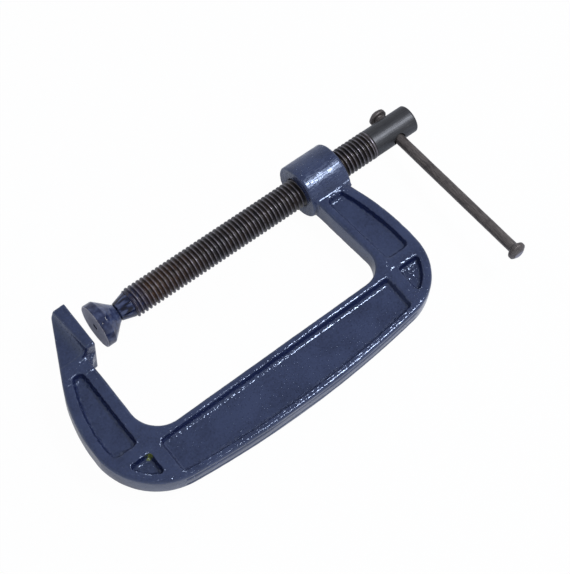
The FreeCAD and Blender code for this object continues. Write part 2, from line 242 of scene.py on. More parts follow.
def blackened_thread(screw, start, crest_radius):
    """Black oxide on a rolled steel screw. The crests are rubbed to grey steel and the
    grooves hold oily dirt, rusty brown towards the nose, where the enamel's overspray
    reaches the first turns."""
    material, tree, place = new_material("blackened_thread")
    across = add_node(
        tree, "ShaderNodeVectorMath", {"operation": "MULTIPLY"},
        {0: place, 1: (0.0, 1.0, 1.0)},
    ).outputs["Vector"]
    radius = add_node(
        tree, "ShaderNodeVectorMath", {"operation": "LENGTH"}, {0: across},
    ).outputs["Value"]
    crest = add_node(
        tree, "ShaderNodeMapRange",
        inputs={"Value": radius, "From Min": crest_radius - 0.20 * MM,
                "From Max": crest_radius - 0.02 * MM},
    ).outputs["Result"]
    mottle = add_node(
        tree, "ShaderNodeTexNoise",
        inputs={"Vector": place, "Scale": 1 / (2.2 * MM), "Detail": 3.0, "Roughness": 0.6},
    ).outputs["Fac"]
    worn = add_node(
        tree, "ShaderNodeMapRange",
        inputs={"Value": mottle, "From Min": 0.30, "From Max": 0.62},
    ).outputs["Result"]
    bare = add_node(
        tree, "ShaderNodeMath", {"operation": "MULTIPLY"}, {0: crest, 1: worn},
    ).outputs["Value"]
    oily = add_node(
        tree, "ShaderNodeTexNoise",
        inputs={"Vector": place, "Scale": 1 / (7.0 * MM), "Detail": 3.0, "Roughness": 0.6},
    ).outputs["Fac"]
    dirt = add_node(
        tree, "ShaderNodeValToRGB", inputs={"Fac": oily},
        stops=[(0.40, screw.oxide_colour), (0.66, screw.dirt_colour)],
    ).outputs["Color"]
    along = add_node(tree, "ShaderNodeSeparateXYZ", inputs={"Vector": place}).outputs["X"]
    # Each stain is full up to its first distance from the thread's start, gone at its last.
    for first, last, tint in (
        (14 * MM, 60 * MM, screw.rust_colour), (5 * MM, 12 * MM, screw.overspray_colour),
    ):
        near = add_node(
            tree, "ShaderNodeMapRange",
            inputs={"Value": along, "From Min": start + last, "From Max": start + first},
        ).outputs["Result"]
        stained = add_node(
            tree, "ShaderNodeMath", {"operation": "MULTIPLY"}, {0: near, 1: worn},
        ).outputs["Value"]
        dirt = add_node(
            tree, "ShaderNodeMix", {"data_type": "RGBA"},
            {"Factor": stained, MIX_A: dirt, MIX_B: (*tint, 1.0)},
        ).outputs[MIX_RESULT]
    colour = add_node(
        tree, "ShaderNodeMix", {"data_type": "RGBA"},
        {"Factor": bare, MIX_A: dirt, MIX_B: (*screw.crest_colour, 1.0)},
    ).outputs[MIX_RESULT]
    bump = add_node(
        tree, "ShaderNodeBump",
        inputs={"Height": mottle, "Distance": 0.05 * MM, "Strength": 1.0},
    ).outputs["Normal"]
    shader = add_node(
        tree, "ShaderNodeBsdfPrincipled",
        inputs={"Base Color": colour, "Metallic": bare, "Roughness": 0.38, "Normal": bump},
    ).outputs["BSDF"]
    add_node(tree, "ShaderNodeOutputMaterial", inputs={"Surface": shader})
    return material


def nose_enamel(screw):
    """Overspray of the enamel on the screw's turned nose: thin and glossy, with darker and paler
    streaks along the screw that are painted reflections."""
    material, tree, place = new_material("nose_overspray")
    drawn_out = add_node(
        tree, "ShaderNodeMapping", {"vector_type": "TEXTURE"},
        {"Vector": place, "Scale": (6.0, 1.0, 1.0)},
    ).outputs["Vector"]
    painted_reflection_streaks = add_node(
        tree, "ShaderNodeTexNoise",
        inputs={"Vector": drawn_out, "Scale": 1 / (2.6 * MM), "Detail": 1.0, "Roughness": 0.5},
    ).outputs["Fac"]
    # Painted reflections: the nearly black and pale blue streaks along the nose.
    colour = add_node(
        tree, "ShaderNodeValToRGB", inputs={"Fac": painted_reflection_streaks},
        stops=[(0.42, screw.nose_painted_dark_reflection_colour), (0.50, screw.nose_colour),
               (0.60, screw.nose_painted_pale_reflection_colour)],
    ).outputs["Color"]
    bump = add_node(
        tree, "ShaderNodeBump",
        inputs={"Height": painted_reflection_streaks, "Distance": 0.12 * MM, "Strength": 1.0},
    ).outputs["Normal"]
    shader = add_node(
        tree, "ShaderNodeBsdfPrincipled",
        inputs={"Base Color": colour, "Roughness": 0.12, "IOR": 1.5, "Normal": bump},
    ).outputs["BSDF"]
    add_node(tree, "ShaderNodeOutputMaterial", inputs={"Surface": shader})
    return material


def blackened_steel(name, steel, heading, roughness, struck_end=None):
    """Turned steel, oil-blackened: dull, mottled, with faint marks along its length, which
    has that heading about Z. The hammer has left the end below y = struck_end bright."""
    material, tree, place = new_material(name)
    lengthwise = add_node(
        tree, "ShaderNodeMapping", {"vector_type": "TEXTURE"},
        {"Vector": place, "Rotation": (0.0, 0.0, heading), "Scale": (14.0, 1.0, 1.0)},
    ).outputs["Vector"]
    marks = add_node(
        tree, "ShaderNodeTexNoise",
        inputs={"Vector": lengthwise, "Scale": 1 / (0.8 * MM), "Detail": 4.0, "Roughness": 0.65},
    ).outputs["Fac"]
    mottle = add_node(
        tree, "ShaderNodeTexNoise",
        inputs={"Vector": place, "Scale": 1 / (7.0 * MM), "Detail": 4.0, "Roughness": 0.6},
    ).outputs["Fac"]
    both = add_node(
        tree, "ShaderNodeMath", {"operation": "MULTIPLY_ADD"}, {0: mottle, 1: 0.5, 2: marks},
    ).outputs["Value"]
    scaled = add_node(
        tree, "ShaderNodeMath", {"operation": "MULTIPLY"}, {0: both, 1: 0.8},
    ).outputs["Value"]
    colour = add_node(
        tree, "ShaderNodeValToRGB", inputs={"Fac": scaled},
        stops=[(0.36, steel.shade_colour), (0.76, steel.steel_colour),
               (0.84, steel.scratch_colour)],
    ).outputs["Color"]
    if struck_end is not None:
        far = add_node(tree, "ShaderNodeSeparateXYZ", inputs={"Vector": place}).outputs["Y"]
        bright = add_node(
            tree, "ShaderNodeMapRange",
            inputs={"Value": far, "From Min": struck_end + 0.15 * MM, "From Max": struck_end},
        ).outputs["Result"]
        colour = add_node(
            tree, "ShaderNodeMix", {"data_type": "RGBA"},
            {"Factor": bright, MIX_A: colour, MIX_B: (*steel.struck_colour, 1.0)},
        ).outputs[MIX_RESULT]
    bump = add_node(
        tree, "ShaderNodeBump",
        inputs={"Height": both, "Distance": 0.04 * MM, "Strength": 1.0},
    ).outputs["Normal"]
    shader = add_node(
        tree, "ShaderNodeBsdfPrincipled",
        inputs={"Base Color": colour, "Metallic": 0.75, "Roughness": roughness, "Normal": bump},
    ).outputs["BSDF"]
    add_node(tree, "ShaderNodeOutputMaterial", inputs={"Surface": shader})
    return material


def pad_enamel(pad, face_x):
    """The casting's enamel on a turned pad, ground to bare steel on its face. Its darker and
    paler patches are painted reflections, and the bare face is painted near white as a
    reflection of the bright surroundings.
    """
    material, tree, place = new_material("pad_enamel")
    depth = add_node(tree, "ShaderNodeSeparateXYZ", inputs={"Vector": place}).outputs["X"]
    grit = add_node(
        tree, "ShaderNodeTexNoise",
        inputs={"Vector": place, "Scale": 1 / (0.8 * MM), "Detail": 3.0, "Roughness": 0.6},
    ).outputs["Fac"]
    edge = add_node(
        tree, "ShaderNodeMath", {"operation": "MULTIPLY_ADD"},
        {0: grit, 1: 0.5 * MM, 2: face_x + 0.05 * MM},
    ).outputs["Value"]
    bare = add_node(
        tree, "ShaderNodeMath", {"operation": "LESS_THAN"}, {0: depth, 1: edge},
    ).outputs["Value"]
    # Painted reflection: the bare face is coloured near white for its reflection of the bright
    # surroundings.
    steel = add_node(
        tree, "ShaderNodeValToRGB", inputs={"Fac": grit},
        stops=[(0.35, pad.face_painted_reflection_colour), (0.65, pad.face_painted_reflection_grain_colour)],
    ).outputs["Color"]
    # Painted reflections: darker and paler patches in the pad's enamel stand in for what its gloss
    # reflects.
    patches = add_node(
        tree, "ShaderNodeTexNoise",
        inputs={"Vector": place, "Scale": 1 / (5.0 * MM), "Detail": 2.0, "Roughness": 0.5},
    ).outputs["Fac"]
    enamel = add_node(
        tree, "ShaderNodeValToRGB", inputs={"Fac": patches},
        stops=[(0.36, pad.pad_painted_dark_reflection_colour), (0.50, pad.colour), (0.66, pad.pad_painted_pale_reflection_colour)],
    ).outputs["Color"]
    colour = add_node(
        tree, "ShaderNodeMix", {"data_type": "RGBA"},
        {"Factor": bare, MIX_A: enamel, MIX_B: steel},
    ).outputs[MIX_RESULT]
    roughness = add_node(
        tree, "ShaderNodeMapRange",
        inputs={"Value": bare, "To Min": 0.10, "To Max": 0.55},
    ).outputs["Result"]
    waves = add_node(
        tree, "ShaderNodeTexNoise",
        inputs={"Vector": place, "Scale": 1 / (4.5 * MM), "Detail": 2.0, "Roughness": 0.5},
    ).outputs["Fac"]
    bump = add_node(
        tree, "ShaderNodeBump",
        inputs={"Height": waves, "Distance": 0.5 * MM, "Strength": 1.0},
    ).outputs["Normal"]
    shader = add_node(
        tree, "ShaderNodeBsdfPrincipled",
        inputs={"Base Color": colour, "Roughness": roughness, "IOR": 1.5, "Normal": bump},
    ).outputs["BSDF"]
    add_node(tree, "ShaderNodeOutputMaterial", inputs={"Surface": shader})
    return material


def pale_floor(tone):
    """Matt white board. To the camera it is almost plain white, with a faint shadow."""
    material, tree, _ = new_material("matt_white_board")
    board = add_node(
        tree, "ShaderNodeBsdfDiffuse", inputs={"Color": (*tone, 1.0)},
    ).outputs["BSDF"]
    white = add_node(tree, "ShaderNodeEmission", inputs={"Strength": 1.0}).outputs["Emission"]
    rays = add_node(tree, "ShaderNodeLightPath").outputs
    mirrored = add_node(
        tree, "ShaderNodeMath", {"operation": "MULTIPLY"}, {0: rays["Is Glossy Ray"], 1: 0.38},
    ).outputs["Value"]
    seen = add_node(
        tree, "ShaderNodeMath", {"operation": "MULTIPLY"}, {0: rays["Is Camera Ray"], 1: 0.98},
    ).outputs["Value"]
    share = add_node(
        tree, "ShaderNodeMath", {"operation": "MAXIMUM"}, {0: seen, 1: mirrored},
    ).outputs["Value"]
    mix = add_node(
        tree, "ShaderNodeMixShader", inputs={0: share, 1: board, 2: white},
    ).outputs["Shader"]
    add_node(tree, "ShaderNodeOutputMaterial", inputs={"Surface": mix})
    return material


# ---- mesh helpers -----------------------------------------------------------------------
def new_piece(name, mesh, body, material, replaced=None):
    """Puts a mesh into the scene as a piece that rides on a body, in its finish."""
    piece = bpy.data.objects.new(name, mesh)
    bpy.context.scene.collection.objects.link(piece)
    mesh.materials.clear()
    mesh.materials.append(material)
    for polygon in mesh.polygons:
        polygon.use_smooth = True
        polygon.material_index = 0
    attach(piece, body)
    if replaced:
        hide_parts(replaced)


def cut_to_length(form, low=None, high=None):
    """Cuts a form square at the given places along X, and closes the ends."""
    for limit, side in ((low, -1.0), (high, 1.0)):
        if limit is None:
            continue
        everything = form.verts[:] + form.edges[:] + form.faces[:]
        cut = bmesh.ops.bisect_plane(
            form, geom=everything, dist=0.0001 * MM, plane_co=(limit, 0, 0),
            plane_no=(side, 0, 0), clear_outer=True,
        )
        rim = [e for e in cut["geom_cut"] if isinstance(e, bmesh.types.BMEdge)]
        bmesh.ops.holes_fill(form, edges=rim, sides=0)


def node_mesh(node, name, low=None, high=None):
    """A copy of a CAD node's mesh, welded, and cut to a length along X with closed ends."""
    form = bmesh.new()
    form.from_mesh(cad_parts[node].data)
    bmesh.ops.remove_doubles(form, verts=form.verts, dist=0.001 * MM)
    cut_to_length(form, low, high)
    mesh = bpy.data.meshes.new(name)
    form.to_mesh(mesh)
    form.free()
    return mesh


def softened(mesh, voxel):
    """The mesh rebuilt in even small faces, its edges rounded a little by smoothing."""
    carrier = bpy.data.objects.new(mesh.name + "_carrier", mesh)
    bpy.context.scene.collection.objects.link(carrier)
    rebuild = carrier.modifiers.new("rebuild", "REMESH")
    rebuild.mode = "VOXEL"
    rebuild.voxel_size = voxel
    rounding = carrier.modifiers.new("rounding", "SMOOTH")
    rounding.factor = 0.5
    rounding.iterations = 2
    bpy.context.view_layer.update()
    evaluated = carrier.evaluated_get(bpy.context.evaluated_depsgraph_get())
    result = bpy.data.meshes.new_from_object(evaluated)
    result.name = mesh.name
    bpy.data.objects.remove(carrier)
    return result


def grain(point, size, seed):
    """Noise from -1 to 1 with features about that size, in metres."""
    return noise.noise(point / size + Vector((seed, 2 * seed, 3 * seed)))


def step(value, low, high):
    """Smooth step from 0 at low to 1 at high."""
    t = min(max((value - low) / (high - low), 0.0), 1.0)
    return t * t * (3 - 2 * t)


def roughen(mesh, node, height_at):
    """Moves every vertex along its normal by height_at(vertex, normal), inside the node's box."""
    low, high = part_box(node)
    normals = [Vector(n.vector) for n in mesh.vertex_normals]
    for vertex, normal in zip(mesh.vertices, normals):
        moved = vertex.co + normal * height_at(vertex, normal)
        vertex.co = [min(max(c, a), b) for c, a, b in zip(moved, low, high)]
    mesh.update()


def rounded(mesh, is_edge, spread, passes):
    """Smooths the mesh around the vertices that is_edge(vertex, normal) picks."""
    form = bmesh.new()
    form.from_mesh(mesh)
    picked = {v for v in form.verts if is_edge(v, v.normal)}
    for _ in range(spread):
        picked |= {edge.other_vert(v) for v in picked for edge in v.link_edges}
    for _ in range(passes):
        bmesh.ops.smooth_vert(
            form, verts=list(picked), factor=0.5,
            use_axis_x=True, use_axis_y=True, use_axis_z=True,
        )
    form.to_mesh(mesh)
    form.free()


# ---- casting ----------------------------------------------------------------------------
class ClampCastingSettings(bpy.types.PropertyGroup):
    """The cast frame and its paint."""
    voxel: bpy.props.FloatProperty(
        name="Face size", description="Size of the faces that the casting is rebuilt in",
        default=0.6 * MM, min=0.3 * MM, **LENGTH)
    wall_roughness: bpy.props.FloatProperty(
        name="Wall roughness", description="Depth of the sand marks on the recess walls",
        default=0.26 * MM, min=0.0, **LENGTH)
    face_roughness: bpy.props.FloatProperty(
        name="Face roughness", description="Depth of the sand marks on the open faces",
        default=0.06 * MM, min=0.0, **LENGTH)
    foot_radius: bpy.props.FloatProperty(
        name="Foot radius", description="Rounding at the foot of the recess walls",
        default=2.6 * MM, min=0.1 * MM, **LENGTH)
    lip_radius: bpy.props.FloatProperty(
        name="Lip radius", description="Rounding at the lip of the recess walls",
        default=1.5 * MM, min=0.1 * MM, **LENGTH)
    wet_lip_radius: bpy.props.FloatProperty(
        name="Thick lip radius", description="Rounding of the lip where the enamel lies thick",
        default=2.0 * MM, min=0.1 * MM, **LENGTH)
    crown: bpy.props.FloatProperty(
        name="Crown", description="Draft of the sides away from the parting line",
        default=0.4 * MM, min=0.0, **LENGTH)
    colour: bpy.props.FloatVectorProperty(
        name="Enamel", description="Colour of the enamel", subtype="COLOR",
        default=hex_colour("#2F3856"))
    deep_colour: bpy.props.FloatVectorProperty(
        name="Thick enamel", description="Colour where the enamel lies thicker",
        subtype="COLOR", default=hex_colour("#222943"))
    # Painted shade: the dark navy put on the steep recess walls and the anvil's end.
    wall_painted_shade_colour: bpy.props.FloatVectorProperty(
        name="Painted wall shade", description="Colour where it ran together on the recess walls",
        subtype="COLOR", default=hex_colour("#101A42"))
    grease_colour: bpy.props.FloatVectorProperty(
        name="Old grease", description="Colour of the grease in the small recess",
        subtype="COLOR", default=hex_colour("#6F7A33"))
    patch_size: bpy.props.FloatProperty(
        name="Patch size", description="Size of the uneven patches in the enamel",
        default=16 * MM, min=1 * MM, **LENGTH)
    sand_size: bpy.props.FloatProperty(
        name="Sand grain size", description="Size of the grain that the sand leaves",
        default=1.5 * MM, min=0.2 * MM, **LENGTH)
    sand_depth: bpy.props.FloatProperty(
        name="Sand grain depth", description="Height of the grain under the enamel",
        default=0.05 * MM, min=0.0, **LENGTH)
    speck_size: bpy.props.FloatProperty(
        name="Speck size", description="Size of the sharp specks in the enamel",
        default=1.1 * MM, min=0.2 * MM, **LENGTH)
    speck_depth: bpy.props.FloatProperty(
        name="Speck depth", description="Height of the sharp specks in the enamel",
        default=0.22 * MM, min=0.0, **LENGTH)
    lump_size: bpy.props.FloatProperty(
        name="Lump size", description="Size of the lumps where the skin is rough",
        default=1.7 * MM, min=0.2 * MM, **LENGTH)
    lump_depth: bpy.props.FloatProperty(
        name="Lump depth", description="Height of the lumps where the skin is rough",
        default=0.45 * MM, min=0.0, **LENGTH)


def crumbled_at(point):
    """Height of the crumbled sand's marks at a point, before its lumps."""
    core = 0.4  # share of the radius that has the full height
    height = 0.0
    for x, y, radius, depth in CRUMBLED:
        away = (point.xy / MM - Vector((x, y))).length
        height = max(height, depth * MM * (1 - step(away, core * radius, radius)))
    return height


def grease_at(point):
    """How much old grease is on a point. It sits in the upper side's recess."""
    if not 0 < point.z < WEB_FACE - 0.5 * MM:
        return 0.0
    core = 0.6  # share of the radius that is covered
    x, y, radius = GREASE
    ragged = 2.0 * grain(point, 2.0 * MM, 17)
    away = (point.xy / MM - Vector((x, y))).length + ragged
    return 1 - step(away, core * radius, radius)


def is_wet(point):
    """Where the enamel has run thick: along the spine's inner rim, towards the arm."""
    return point.x > WET_START and point.y > WET_FOOT


def is_boss(point):
    """The round boss that the screw runs in."""
    return point.x > BOSS_START and point.y > JAW_FOOT


def is_anvil_end(point):
    """The lower end of the anvil's plate, where it meets the arm."""
    low, high = -26 * MM, -14 * MM
    return point.x < 0.5 * MM and low < point.y < high


def below_jaws(point):
    """0 down to the ends of the anvil and the boss, 1 a little way down the arms."""
    return step(-point.y, 24 * MM, 34 * MM)


def lip_share(normal):
    """1 on the rounded lip and foot of a wall, 0 on the wall and on level faces."""
    slope = abs(normal.z)
    return step(slope, 0.12, 0.35) * (1 - step(slope, 0.93, 0.99))


def facing_walls(mesh):
    """For every vertex, whether it is on the wall of a recess: another wall faces it."""
    reach = 45 * MM       # more than the widest recess
    level = 7 * MM        # a little below the lips
    start_off = 1.5 * MM  # clear of the wall's own roughness
    form = bmesh.new()
    form.from_mesh(mesh)
    tree = BVHTree.FromBMesh(form)
    form.free()
    facing = []
    for vertex, normal in zip(mesh.vertices, mesh.vertex_normals):
        outward = Vector((normal.vector[0], normal.vector[1], 0.0))
        if outward.length < 0.05 or vertex.co.y > JAW_FOOT:
            facing.append(False)
            continue
        outward.normalize()
        start = vertex.co + outward * start_off
        start.z = min(max(start.z, -level), level)
        facing.append(bool(tree.ray_cast(start, outward, reach)[0]))
    return facing


def on_corner(along, up, radius):
    """Where a point near the corner of two walls goes when the corner gets that radius."""
    away = Vector((along - radius, up - radius))
    if max(away) < 0 and away.length > radius:
        away *= radius / away.length
        return away.x + radius, away.y + radius
    return along, up


def round_recesses(mesh, facing, foot_radius, lip_radius):
    """Rounds the foot and the lip of every recess wall. lip_radius is a function of place."""
    reach = 5 * MM    # how far from a wall a vertex may lie
    under = 0.3 * MM  # how far below the recess floor it may lie
    walls = [
        tuple(p.vertices) for p in mesh.polygons
        if abs(p.normal.z) < 0.5 and all(facing[v] for v in p.vertices)
    ]
    tree = BVHTree.FromPolygons([v.co.copy() for v in mesh.vertices], walls)
    middle = (RECESS_FLOOR + WEB_FACE) / 2
    for vertex in mesh.vertices:
        side = 1.0 if vertex.co.z > 0 else -1.0
        height = abs(vertex.co.z)
        probe = Vector((vertex.co.x, vertex.co.y, side * middle))
        place, normal, _, _ = tree.find_nearest(probe, reach)
        if place is None or height < RECESS_FLOOR - under:
            continue
        out = Vector((normal.x, normal.y, 0.0)).normalized()
        across = (probe - place).dot(out)
        if height < middle:
            along = max(across, 0.0)
            moved, up = on_corner(along, height - RECESS_FLOOR, foot_radius)
            shift = moved - along
            height = RECESS_FLOOR + up
        else:
            along = max(-across, 0.0)
            moved, up = on_corner(along, WEB_FACE - height, lip_radius(vertex.co))
            shift = along - moved
            height = WEB_FACE - up
        vertex.co += out * shift
        vertex.co.z = side * height
    mesh.update()


def cast_surface(settings, facing):
    """Height of the cast surface over the pattern's: sand everywhere, deeper on the lips
    and feet of the recesses, draft on the outer sides, and crumbled sand."""
    sand = 1.7 * MM  # size of the grain on the lips

    def height_at(vertex, normal):
        point = vertex.co
        face_grain = 3.0 * MM if is_boss(point) else 5.0 * MM
        height = settings.face_roughness * grain(point, face_grain, 1)
        if facing[vertex.index]:
            depth = 0.4 + lip_share(normal)
            if is_wet(point):
                depth *= 0.6
            height += settings.wall_roughness * depth * grain(point, sand, 7)
        else:
            depth = 0.5 * lip_share(normal) * below_jaws(point)
            height += settings.wall_roughness * depth * grain(point, sand, 9)
            side = (1 - abs(normal.z)) * below_jaws(point)
            height += settings.crown * side * (1.3 - (point.z / WEB_FACE) ** 2)
        marks = crumbled_at(point)
        if marks:
            lumps = grain(point, 2.0 * MM, 11) + 0.7 * grain(point, 1.1 * MM, 13)
            height += marks * max(lumps, 0.0) * abs(normal.z)
        return height
    return height_at


def mark_skin(mesh, facing):
    """Keeps at each vertex how rough the skin is, how far the film is rubbed, where shade is
    painted on the steep recess walls and the anvil's end, and where old grease sits."""
    for name in SKIN_MARKS:
        mesh.attributes.new(name, "FLOAT", "POINT")
    kept = {name: mesh.attributes[name].data for name in SKIN_MARKS}
    for vertex, vertex_normal in zip(mesh.vertices, mesh.vertex_normals):
        point, normal, index = vertex.co, vertex_normal.vector, vertex.index
        if facing[index]:
            rough = lip_share(normal) * (0.35 if is_wet(point) else 0.9)
        else:
            rough = lip_share(normal) * 0.4 * below_jaws(point)
        rough = max(rough, 0.6 * min(crumbled_at(point) / MM, 1.0))
        if is_boss(point):
            rough = max(rough, 0.12)
        if is_anvil_end(point):
            rough = 1.0
        # Painted shade, on the steep faces of the recess walls and of the anvil's end.
        steep = 1 - step(abs(normal.z), 0.25, 0.75)
        in_corner = facing[index] or is_anvil_end(point)
        kept["rough_skin"][index].value = rough
        kept["rubbed_film"][index].value = float(is_boss(point))
        kept["painted_shade_on_walls"][index].value = steep if in_corner else 0.0
        kept["old_grease"][index].value = grease_at(point)


class CLAMP_OT_casting(bpy.types.Operator):
    """Build the cast frame in its enamel"""
    bl_idname = "clamp.casting"
    bl_label = "Casting"

    def execute(self, context):
        settings = context.scene.clamp_casting
        mesh = softened(node_mesh("frame", "casting"), settings.voxel)
        facing = facing_walls(mesh)

        def is_lip(vertex, normal):
            return facing[vertex.index] and 0.3 < abs(normal.z) < 0.97

        def is_anvil_back(vertex, normal):
            return vertex.co.x < -3 * MM and vertex.co.y > -20 * MM

        def is_outer_edge(vertex, normal):
            on_rim = vertex.co.y < -22 * MM and abs(vertex.co.z) > 6 * MM
            return on_rim and 0.2 < abs(normal.z) < 0.97 and not facing[vertex.index]

        def lip_radius(point):
            return settings.wet_lip_radius if is_wet(point) else settings.lip_radius

        round_recesses(mesh, facing, settings.foot_radius, lip_radius)
        rounded(mesh, is_lip, spread=1, passes=3)
        rounded(mesh, is_anvil_back, spread=0, passes=8)
        rounded(mesh, is_outer_edge, spread=1, passes=4)
        roughen(mesh, "frame", cast_surface(settings, facing))
        mark_skin(mesh, facing)
        material = casting_enamel(settings)
        new_piece("casting", mesh, "frame", material, "frame")
        return {"FINISHED"}


# ---- screw ------------------------------------------------------------------------------
class ClampScrewSettings(bpy.types.PropertyGroup):
    """The screw spindle: thread, nose and head."""
    pitch: bpy.props.FloatProperty(
        name="Pitch", description="Distance from one turn of the thread to the next",
        default=3.0 * MM, min=0.5 * MM, **LENGTH)
    thread_depth: bpy.props.FloatProperty(
        name="Thread depth", description="Crest of the thread to its root",
        default=1.6 * MM, min=0.1 * MM, **LENGTH)
    lead_in: bpy.props.FloatProperty(
        name="Lead-in", description="Length of the chamfer before the full thread",
        default=1.2 * MM, min=0.0, **LENGTH)
    run_out: bpy.props.FloatProperty(
        name="Run-out", description="Length of the plain collar after the full thread",
        default=1.0 * MM, min=0.0, **LENGTH)
    crest_colour: bpy.props.FloatVectorProperty(
        name="Bare crest", description="Colour of the rubbed crests", subtype="COLOR",
        default=hex_colour("#8B8792"))
    oxide_colour: bpy.props.FloatVectorProperty(
        name="Black oxide", description="Colour of the blackened grooves", subtype="COLOR",
        default=hex_colour("#141317"))
    dirt_colour: bpy.props.FloatVectorProperty(
        name="Oily dirt", description="Colour of the dirt in the grooves", subtype="COLOR",
        default=hex_colour("#29211D"))
    rust_colour: bpy.props.FloatVectorProperty(
        name="Rusty dirt", description="Colour of the dirt towards the nose", subtype="COLOR",
        default=hex_colour("#483427"))
    overspray_colour: bpy.props.FloatVectorProperty(
        name="Overspray", description="Colour of the enamel on the first turns",
        subtype="COLOR", default=hex_colour("#222C4C"))
    nose_colour: bpy.props.FloatVectorProperty(
        name="Nose", description="Colour of the enamel on the nose", subtype="COLOR",
        default=hex_colour("#1E2747"))
    # Painted reflections: the dark and pale streaks along the screw's nose.
    nose_painted_dark_reflection_colour: bpy.props.FloatVectorProperty(
        name="Painted dark streaks", description="Colour where the enamel on the nose lies thick",
        subtype="COLOR", default=hex_colour("#070C22"))
    nose_painted_pale_reflection_colour: bpy.props.FloatVectorProperty(
        name="Painted pale streaks", description="Colour where the enamel on the nose lies thin",
        subtype="COLOR", default=hex_colour("#465070"))
    steel_colour: bpy.props.FloatVectorProperty(
        name="Head", description="Colour of the blackened head", subtype="COLOR",
        default=hex_colour("#4E5054"))
    shade_colour: bpy.props.FloatVectorProperty(
        name="Head, darker", description="Colour of the darker parts of the head",
        subtype="COLOR", default=hex_colour("#38393E"))
    scratch_colour: bpy.props.FloatVectorProperty(
        name="Head, scratched", description="Colour of the bare marks on the head",
        subtype="COLOR", default=hex_colour("#A09C9A"))


def thread_span(node):
    """First and last x at which a node has its full thread diameter, and that radius."""
    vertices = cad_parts[node].data.vertices
    crest = max(abs(v.co.z) for v in vertices)
    full = [v.co.x for v in vertices if math.hypot(v.co.y, v.co.z) > crest - 0.01 * MM]
    return min(full), max(full), crest


def thread_mesh(settings, start, end, crest):
    """Right-hand thread as a grid sheared along its helix. Its groove comes up to the
    surface over the last turn, and its first turn is chamfered."""
    around = 72
    along = 14
    root = crest - settings.thread_depth
    low = start - settings.lead_in
    high = end + settings.run_out
    turns = math.ceil((high - low) / settings.pitch) + 2
    crest_share, root_share = 0.10, 0.86  # of half a pitch, from the crest's middle
    end_taper = 0.3 * MM

    def radius_at(x, phase):
        off_crest = 1 - abs(phase - 0.5) * 2
        radius = crest - settings.thread_depth * step(off_crest, crest_share, root_share)
        radius = max(radius, crest - settings.thread_depth * step(end - x, 0, settings.pitch))
        chamfer = crest - max(start - x, 0.0)
        taper = crest - end_taper * step(x, end, high)
        return max(min(radius, chamfer, taper), root)

    form = bmesh.new()
    rings = []
    for row in range(turns * along + 1):
        ring = []
        for column in range(around):
            turn = column / around
            x = low + settings.pitch * (row / along - 1 + turn)
            radius = radius_at(x, (row / along) % 1.0)
            angle = 2 * math.pi * turn
            ring.append(form.verts.new((x, radius * math.cos(angle), radius * math.sin(angle))))
        rings.append(ring)
    for lower, upper in zip(rings, rings[1:]):
        for column in range(around - 1):
            form.faces.new((lower[column], lower[column + 1], upper[column + 1], upper[column]))
    # One turn closes on the row a pitch further on.
    for row in range(len(rings) - along - 1):
        a = rings[row + along][0]
        b = rings[row + along + 1][0]
        form.faces.new((rings[row][-1], a, b, rings[row + 1][-1]))
    cut_to_length(form, low, high)
    bmesh.ops.recalc_face_normals(form, faces=form.faces)
    mesh = bpy.data.meshes.new("screw_thread")
    form.to_mesh(mesh)
    form.free()
    return mesh


class CLAMP_OT_screw(bpy.types.Operator):
    """Build the screw: its thread, its nose with the ball, and its head"""
    bl_idname = "clamp.screw"
    bl_label = "Screw"

    def execute(self, context):
        settings = context.scene.clamp_screw
        start, end, crest = thread_span("spindle")
        thread = thread_mesh(settings, start, end, crest)
        finish = blackened_thread(settings, start, crest)
        new_piece("screw_thread", thread, "spindle", finish, "spindle")

        nose_end = start - settings.lead_in
        nose = softened(node_mesh("spindle", "screw_nose", high=nose_end), FACE_SIZE)
        new_piece("screw_nose", nose, "spindle", nose_enamel(settings))

        head_start = end + settings.run_out
        head = softened(node_mesh("spindle", "screw_head", low=head_start), HEAD_FACE_SIZE)
        steel = blackened_steel("blackened_head", settings, heading=0.0, roughness=0.42)
        new_piece("screw_head", head, "spindle", steel)
        return {"FINISHED"}


# ---- swivel pad -------------------------------------------------------------------------
class ClampPadSettings(bpy.types.PropertyGroup):
    """The swivel pad's finish."""
    colour: bpy.props.FloatVectorProperty(
        name="Enamel", description="Colour of the pad's enamel", subtype="COLOR",
        default=hex_colour("#2C3554"))
    # Painted reflections: the dark and pale patches on the pad's enamel.
    pad_painted_dark_reflection_colour: bpy.props.FloatVectorProperty(
        name="Thick enamel", description="Colour where the enamel lies thick", subtype="COLOR",
        default=hex_colour("#161E3C"))
    pad_painted_pale_reflection_colour: bpy.props.FloatVectorProperty(
        name="Painted pale reflections", description="Colour where the enamel lies thin", subtype="COLOR",
        default=hex_colour("#465070"))
    # Painted reflection: the near-white colours of the pad's bare face.
    face_painted_reflection_colour: bpy.props.FloatVectorProperty(
        name="Face, painted reflection", description="Colour of the bare face", subtype="COLOR",
        default=hex_colour("#C6C6D0"))
    face_painted_reflection_grain_colour: bpy.props.FloatVectorProperty(
        name="Face grain, painted reflection", description="Colour of the bare face's brighter grain",
        subtype="COLOR", default=hex_colour("#DADAE3"))
    unevenness: bpy.props.FloatProperty(
        name="Unevenness", description="Depth of the waves in the enamelled surface",
        default=0.15 * MM, min=0.0, **LENGTH)


class CLAMP_OT_swivel_pad(bpy.types.Operator):
    """Build the swivel pad with its bare face and crimped lip"""
    bl_idname = "clamp.swivel_pad"
    bl_label = "Swivel pad"

    def execute(self, context):
        settings = context.scene.clamp_pad

        def wave(vertex, normal):
            return settings.unevenness * grain(vertex.co, 4 * MM, 3)

        mesh = softened(node_mesh("swivel_pad", "pad"), FACE_SIZE)
        roughen(mesh, "swivel_pad", wave)
        face_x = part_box("swivel_pad")[0][0]
        material = pad_enamel(settings, face_x)
        new_piece("pad", mesh, "pad", material, "swivel_pad")
        return {"FINISHED"}


